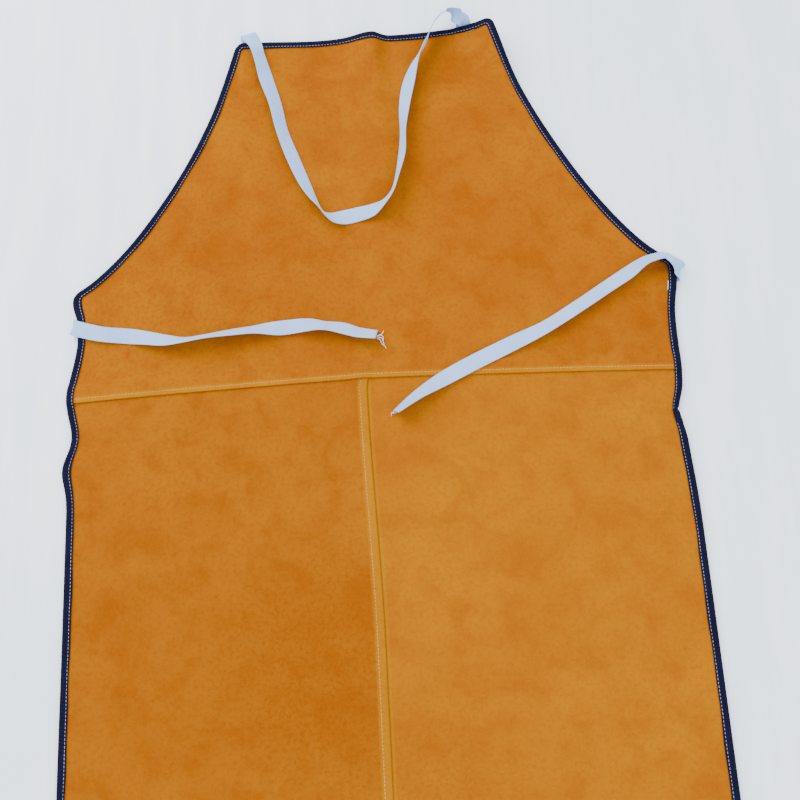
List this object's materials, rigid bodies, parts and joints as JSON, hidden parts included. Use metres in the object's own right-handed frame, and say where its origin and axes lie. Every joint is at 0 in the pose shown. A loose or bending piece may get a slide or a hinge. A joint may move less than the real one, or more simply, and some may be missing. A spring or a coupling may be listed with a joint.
{
  "type": "welding apron",
  "caption": "Bib apron of split cowhide for welding: bib and skirt panels with lapped seams, a bound edge, a webbing neck strap and webbing waist ties.",
  "frame": {"origin": "middle of the apron's outline, on the surface that it lies on", "axes": "+X across the apron, +Y up it towards the bib, +Z out of its front"},
  "size_m": [0.6115, 0.9161, 0.027],
  "materials": {
    "bib_suede": "golden brown split cowhide, napped",
    "skirt_suede": "golden brown split cowhide, napped",
    "binding_tape": "navy woven tape",
    "white_thread": "white sewing thread",
    "gold_thread": "gold sewing thread",
    "webbing": "pale blue cotton webbing"
  },
  "bodies": {
    "apron": {"bib_panel": "bib_suede", "left_skirt_panel": "skirt_suede", "right_skirt_panel": "skirt_suede", "edge_binding": "binding_tape", "binding_stitching": "white_thread", "waist_seam_front_thread": "gold_thread", "waist_seam_back_thread": "gold_thread", "centre_seam_front_thread": "gold_thread", "centre_seam_back_thread": "gold_thread", "neck_strap_left_tack": "gold_thread", "neck_strap_right_tack": "gold_thread", "left_tie_tack": "white_thread", "right_tie_tack": "white_thread", "neck_strap_left_sewn_end": "webbing", "neck_strap_right_sewn_end": "webbing", "left_tie_sewn_end": "webbing", "right_tie_sewn_end": "webbing"},
    "neck_loop": {"neck_strap": "webbing"},
    "left_tie": {"left_waist_tie": "webbing"},
    "right_tie": {"right_waist_tie": "webbing"}
  },
  "joints": [
    {"name": "neck_strap_flip", "type": "hinge", "parent": "apron", "child": "neck_loop", "pos_m": [0, 0.45105, 0.0004], "axis": [-1, 0, 0], "range_deg": [0, 150]},
    {"name": "left_tie_flip", "type": "hinge", "parent": "apron", "child": "left_tie", "pos_m": [-0.30105, 0.124, 0.0004], "axis": [0, -1, 0], "range_deg": [0, 170]},
    {"name": "right_tie_flip", "type": "hinge", "parent": "apron", "child": "right_tie", "pos_m": [0.30105, 0.142, 0.0004], "axis": [0, 1, 0], "range_deg": [0, 165]}
  ]
}
